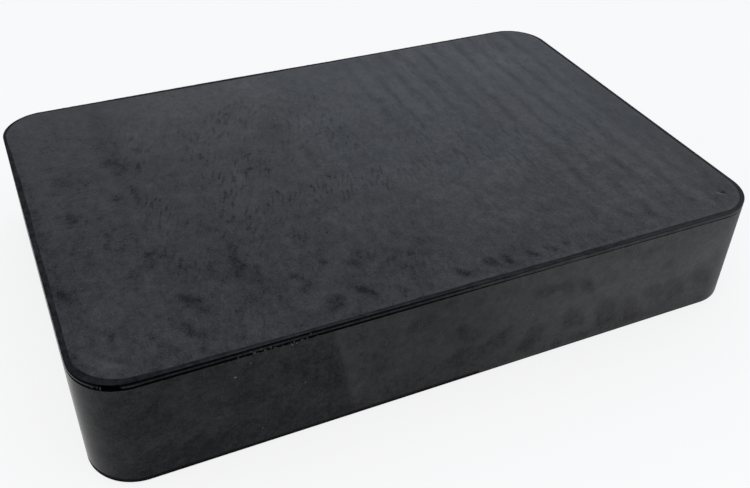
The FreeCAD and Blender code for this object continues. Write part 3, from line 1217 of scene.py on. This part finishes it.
# %% [markdown]
# ### The cut margin
#
# The knife that trimmed the flash left the slope of the margin dull, with fine
# scrapes, and the rubber there is dark grey under no bloom, painted paler to the
# right and darker at the left as painted light. In the seams and at the foot of the
# walls it is painted black as painted shade.
#
# It could be one more colour in the same finish. But a cut face has its own gloss,
# and a crisp line parts it from the work face, so those faces get a finish of their
# own.

# %% Mix the finish of the cut
CUT_DARK = (0.0115, 0.0119, 0.0132, 1)
CUT_PALE = (0.0228, 0.0235, 0.0252, 1)
SHADE_BLACK = (0.0004, 0.0004, 0.0004, 1)
SCRAPE_SIZE = (1.6, 1.6, 0.2)
SCRAPE_DETAIL = 3.0
SCRAPE_RISE = (-0.25, 0.25)
PALER_RIGHT = Fade("x", 10, 60)
PALER_BY = 0.6
DARKER_LEFT = Fade("x", -60, -42)
DARKER_BY = -0.42
CUT_ROUGHNESS = 0.7
CUT_SHINE = 0.01
cut = bpy.data.materials.new("cut_rubber")
cut.use_nodes = True
cut_shader = cut.node_tree.nodes["Principled BSDF"]
cut_paint = Paint(cut.node_tree)
cut_coordinates = cut_paint.add("TexCoord").outputs["Object"]
cut_axes = cut_paint.axes(cut_coordinates)
scrapes = cut_paint.mottle(cut_coordinates, SCRAPE_SIZE, SCRAPE_DETAIL, 1)
scrapes = cut_paint.ramp(scrapes, *SCRAPE_RISE)
# Painted light: the cut is painted paler to the right and darker at the left.
paler = cut_paint.fade(cut_axes, PALER_RIGHT, 0.0, PALER_BY)
paler = cut_paint.calc("ADD", paler, cut_paint.fade(cut_axes, DARKER_LEFT, DARKER_BY, 0.0))
scraped = cut_paint.blend(cut_paint.calc("ADD", scrapes, paler), CUT_DARK, CUT_PALE)
shade_share = cut_paint.add("Attribute", {"attribute_name": "painted_light_and_rub"}).outputs["Fac"]
# The cut is painted black where the attribute holds painted shade.
cut_paint.feed(cut_shader.inputs["Base Color"], cut_paint.blend(shade_share, scraped, SHADE_BLACK))
cut_shader.inputs["Roughness"].default_value = CUT_ROUGHNESS
cut_shader.inputs["Specular IOR Level"].default_value = CUT_SHINE
slab.data.materials.append(cut)
print("cut rubber:", len(cut.node_tree.nodes), "nodes")

# %% Give it to the margin, the seams and the foot of the walls
MARGIN_FROM = 25
BASE_TO = 0.55
SHADED_FROM = 0.4
for face in slab.data.polygons:
    around = list(face.vertices)
    on_slope = z[around].mean() > foot[around].mean() > MARGIN_FROM
    on_margin = on_slope and inset[around].mean() < crease[around].mean()
    on_base = UNDERSIDE < z[around].mean() < BASE_TO
    face.material_index = int(on_margin or on_base or painted_light_and_rub[around].mean() > SHADED_FROM)
print("cut faces:", sum(face.material_index for face in slab.data.polygons))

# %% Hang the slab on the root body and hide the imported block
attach(slab, "root")
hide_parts(NODE)
print(slab.name, "stands for", NODE)

# %% [markdown]
# ## Dust specks and crumbs of flash
#
# A few pale specks of dust sit on the front and on the work face, each a third of
# a millimetre across. At the torn corner, and along the lower seam to its right,
# crumbs of the flash still cling to the edge.
#
# They could be dots in the finish, but even so small a lump catches light on one
# side. Each is a ball that is drawn out and then pushed out of shape by noise, and
# all lumps of a kind make one piece.


# %% Where they are, in millimetres
class Lump(NamedTuple):
    """One lump: its place on the face that it clings to, and its half sizes there."""

    across: float
    along: float
    half_width: float
    half_length: float


FRONT_SPECKS = (
    Lump(-47.5, 20.2, 0.32, 0.2),
    Lump(-34.1, 13.5, 0.17, 0.15),
    Lump(16.8, 13.1, 0.16, 0.2),
    Lump(-9, 20.2, 0.14, 0.14),
    Lump(-43, 4.7, 0.14, 0.14),
    Lump(-44.4, 22.6, 0.13, 0.13),
    Lump(-36.4, 24.15, 0.2, 0.16),
    Lump(-35.6, 24.3, 0.12, 0.12),
)
TOP_SPECKS = (
    Lump(-64.5, -10, 0.24, 0.17),
    Lump(-68.5, -22, 0.16, 0.16),
    Lump(-51, -39, 0.14, 0.14),
    Lump(-8.5, -40.5, 0.13, 0.13),
    Lump(17.5, 39.5, 0.16, 0.16),
)
# Round the corner, the place across is an angle. 0 faces the front.
CORNER_CRUMBS = (
    Lump(33, 25.2, 0.14, 0.4),
    Lump(36, 25.3, 0.1, 0.3),
    Lump(42, 25.2, 0.16, 0.35),
    Lump(46, 25.4, 0.12, 0.25),
)
FRONT_CRUMBS = (
    Lump(-46.6, 24.8, 0.14, 0.2),
    Lump(-44.2, 25.4, 0.24, 0.16),
    Lump(-43.6, 24.9, 0.32, 0.3),
    Lump(-43.0, 24.6, 0.16, 0.2),
    Lump(-42.3, 25.3, 0.2, 0.3),
    Lump(-41.6, 24.8, 0.3, 0.24),
    Lump(-40.5, 25.1, 0.22, 0.34),
    Lump(-39.7, 24.7, 0.26, 0.2),
    Lump(-38.2, 24.6, 0.16, 0.14),
    Lump(-36.6, 24.5, 0.2, 0.2),
    Lump(-36.1, 24.8, 0.15, 0.25),
    Lump(-34.5, 24.7, 0.34, 0.24),
    Lump(-33.5, 24.8, 0.16, 0.3),
    Lump(-31.4, 24.6, 0.2, 0.16),
    Lump(-32.8, 25.6, 0.14, 0.3),
)
print("specks:", len(FRONT_SPECKS) + len(TOP_SPECKS))
print("crumbs:", len(CORNER_CRUMBS) + len(FRONT_CRUMBS))

# %% How one lump is made
LUMP_SUBDIVISIONS = 2
LUMP_WAVE = 0.13 * MM
# Noise that gives a vector starts at a random place unless it has a seed.
LUMP_SEED = 5
noise.seed_set(LUMP_SEED)


def start_piece(name):
    """An empty piece in edit mode."""
    piece = bpy.data.objects.new(name, bpy.data.meshes.new(name))
    bpy.context.scene.collection.objects.link(piece)
    select_only(piece)
    bpy.ops.object.mode_set(mode="EDIT")
    return piece


def add_lump(place, radii):
    """Add one lump with these half sizes at place."""
    bpy.ops.mesh.select_all(action="DESELECT")
    bpy.ops.mesh.primitive_ico_sphere_add(subdivisions=LUMP_SUBDIVISIONS, radius=1, location=place)
    bpy.ops.transform.resize(value=radii, center_override=place)
    lumps = bmesh.from_edit_mesh(bpy.context.object.data)
    for vert in lumps.verts:
        if vert.select:
            vert.co += noise.noise_vector(vert.co / LUMP_WAVE) * min(radii) / 2
    bmesh.update_edit_mesh(bpy.context.object.data)


def wall_depth(height):
    """How far from the middle the front wall stands at this height."""
    return WIDTH / 2 - (PARTING_HEIGHT - height) * math.tan(DRAFT)


print(f"front wall half way up: {wall_depth(HEIGHT / 2) / MM:.2f} mm from the middle")

# %% Lay the specks
SPECK_HEIGHT = 0.07
specks = start_piece("dust_specks")
for lump in FRONT_SPECKS:
    place = lump.across * MM, -wall_depth(lump.along * MM), lump.along * MM
    add_lump(place, (lump.half_width * MM, SPECK_HEIGHT * MM, lump.half_length * MM))
for lump in TOP_SPECKS:
    place = lump.across * MM, lump.along * MM, HEIGHT
    add_lump(place, (lump.half_width * MM, lump.half_length * MM, SPECK_HEIGHT * MM))
bpy.ops.object.mode_set(mode="OBJECT")
print("specks:", len(specks.data.polygons), "faces")

# %% Stick on the crumbs
crumbs = start_piece("flash_crumbs")
for lump in CORNER_CRUMBS:
    angle = math.radians(lump.across)
    out = Vector((-math.sin(angle), -math.cos(angle)))
    place = Vector((-CENTRE_X, -CENTRE_Y)) + out * CORNER_RADIUS
    radii = (lump.half_width * MM, lump.half_width * MM, lump.half_length * MM)
    add_lump((place.x, place.y, lump.along * MM), radii)
for lump in FRONT_CRUMBS:
    place = lump.across * MM, -WIDTH / 2, lump.along * MM
    add_lump(place, (lump.half_width * MM, lump.half_width * MM / 2, lump.half_length * MM))
bpy.ops.object.mode_set(mode="OBJECT")
print("crumbs:", len(crumbs.data.polygons), "faces")

# %% Their finish
LUMP_MOTTLE = (0.3, 0.3, 0.3)
LUMP_ROUGHNESS = 0.9
LUMP_SHINE = 0.05
LINT_GREY = 0.08
CRUMB_GREY = 0.03


def lump_finish(piece, name, middle):
    """A dull grey around this tone, uneven from lump to lump."""
    finish = bpy.data.materials.new(name)
    finish.use_nodes = True
    lump_shader = finish.node_tree.nodes["Principled BSDF"]
    lump_paint = Paint(finish.node_tree)
    lump_coordinates = lump_paint.add("TexCoord").outputs["Object"]
    uneven = lump_paint.mottle(lump_coordinates, LUMP_MOTTLE, 1.0, 0)
    tone = lump_paint.calc("MULTIPLY_ADD", uneven, middle, middle)
    colour = lump_paint.add("CombineColor", Red=tone, Green=tone, Blue=tone)
    lump_paint.feed(lump_shader.inputs["Base Color"], colour.outputs[0])
    lump_shader.inputs["Roughness"].default_value = LUMP_ROUGHNESS
    lump_shader.inputs["Specular IOR Level"].default_value = LUMP_SHINE
    piece.data.materials.append(finish)


lump_finish(specks, "pale_lint", LINT_GREY)
lump_finish(crumbs, "torn_rubber", CRUMB_GREY)
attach(specks, "root")
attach(crumbs, "root")
print("finished:", specks.name, "and", crumbs.name)

# %% [markdown]
# ## Floor and studio light
#
# The block lies on white paper in a bright room. Black rubber shows what it
# reflects, so the room matters as much as the lamp: a pale floor and pale walls
# give it its grey gloss.
#
# More light would make the background white, but it would bleach the rubber too.
# So the paper and the room only look brighter to the camera and in reflections, and
# they light the block at a plain level. The glow makes up three quarters of what is
# seen of the paper. The last quarter is plain paper, and it keeps the block's shadow.

# %% Lay the floor
FLOOR_SIZE = 4
PAPER_WHITE = (0.9, 0.9, 0.9, 1)
WHITE = (1, 1, 1, 1)
PAPER_GLOW = 0.75
bpy.ops.mesh.primitive_plane_add(size=FLOOR_SIZE, location=(0, 0, 0))
floor = bpy.context.object
floor.name = "floor"
paper = bpy.data.materials.new("white_paper")
paper.use_nodes = True
paper_shader = paper.node_tree.nodes["Principled BSDF"]
paper_shader.inputs["Base Color"].default_value = PAPER_WHITE
paper_shader.inputs["Roughness"].default_value = 1.0
paper_shader.inputs["Specular IOR Level"].default_value = 0.0
floor.data.materials.append(paper)
print("floor:", FLOOR_SIZE, "m wide")


# %% Let it glow where it is seen
def seen_rays(nodes):
    """1 for light that the camera, a reflection or glass looks at, and 0 for the rest."""
    rays = nodes.add("LightPath").outputs
    seen = nodes.calc("MAXIMUM", rays["Is Camera Ray"], rays["Is Glossy Ray"])
    return nodes.calc("MAXIMUM", seen, rays["Is Transmission Ray"])


paper_nodes = Nodes(paper.node_tree)
glow = paper_nodes.add("Emission", Color=WHITE, Strength=1.0)
share = paper_nodes.calc("MULTIPLY", seen_rays(paper_nodes), PAPER_GLOW)
mixed = paper_nodes.add("MixShader", Fac=share)
paper_nodes.feed(mixed.inputs[1], paper_shader.outputs[0])
paper_nodes.feed(mixed.inputs[2], glow.outputs[0])
surface = paper.node_tree.nodes["Material Output"].inputs["Surface"]
paper_nodes.feed(surface, mixed.outputs[0])
print(f"glow: {PAPER_GLOW:.0%} of the paper")

# %% Studio walls and ceiling
FILL = 0.73
DAYLIGHT = (0.95, 0.995, 1.12, 1)
world = bpy.data.worlds.new("studio")
bpy.context.scene.world = world
world.use_nodes = True
studio = Paint(world.node_tree)
background = world.node_tree.nodes["Background"]
camera_ray = studio.add("LightPath").outputs["Is Camera Ray"]
studio.feed(background.inputs["Strength"], studio.ramp(seen_rays(studio), 0.0, 1.0, FILL, 1.0))
studio.feed(background.inputs["Color"], studio.blend(camera_ray, DAYLIGHT, WHITE))
print("fill:", FILL, "of white")

# %% Key lamp, above and behind the camera
KEY_POSITION = Vector((-0.3, -0.62, 0.64))
KEY_SIZE = 0.5
KEY_WATTS = 3.0
KEY_COLOUR = (1.0, 0.94, 0.8)
key_data = bpy.data.lights.new("key", "AREA")
key_data.shape = "DISK"
key_data.size = KEY_SIZE
key_data.energy = KEY_WATTS
key_data.color = KEY_COLOUR
key = bpy.data.objects.new("key", key_data)
bpy.context.scene.collection.objects.link(key)
key.location = KEY_POSITION
key.rotation_euler = KEY_POSITION.to_track_quat("Z", "Y").to_euler()
print(f"key lamp: {KEY_POSITION.length:.2f} m from the block")

# %% [markdown]
# ## Camera
#
# The camera stands near the front left corner and looks down on the block from
# close by, so its far edges draw together strongly. Its place was found by fitting
# the block's corners and edges to the outline in the photograph. A camera that is
# farther off, with a longer lens, would show the same faces but flatter.
#
# Its place is given by its turn round the block, its height as an angle, and its
# distance, which is easier to read than three coordinates.

# %% Set up the camera
LENS_PIXELS = 929.29
IMAGE_WIDTH = 750
SENSOR_WIDTH = 36
AZIMUTH = math.radians(-25.784)
ELEVATION = math.radians(37.275)
ROLL = math.radians(-1.947)
DISTANCE = 233.293 * MM
TARGET = Vector((3.828, 0.313, 0)) * MM
back = Vector((
    math.sin(AZIMUTH) * math.cos(ELEVATION),
    -math.cos(AZIMUTH) * math.cos(ELEVATION),
    math.sin(ELEVATION),
))
camera_data = bpy.data.cameras.new("camera")
camera_data.sensor_width = SENSOR_WIDTH
camera_data.lens = LENS_PIXELS * SENSOR_WIDTH / IMAGE_WIDTH
camera = bpy.data.objects.new("camera", camera_data)
bpy.context.scene.collection.objects.link(camera)
turned = back.to_track_quat("Z", "Y").to_matrix().to_4x4() @ Matrix.Rotation(-ROLL, 4, "Z")
camera.matrix_world = Matrix.Translation(TARGET + back * DISTANCE) @ turned
bpy.context.scene.camera = camera
bpy.context.scene.view_settings.view_transform = "Standard"
print(f"lens: {camera_data.lens:.1f} mm")
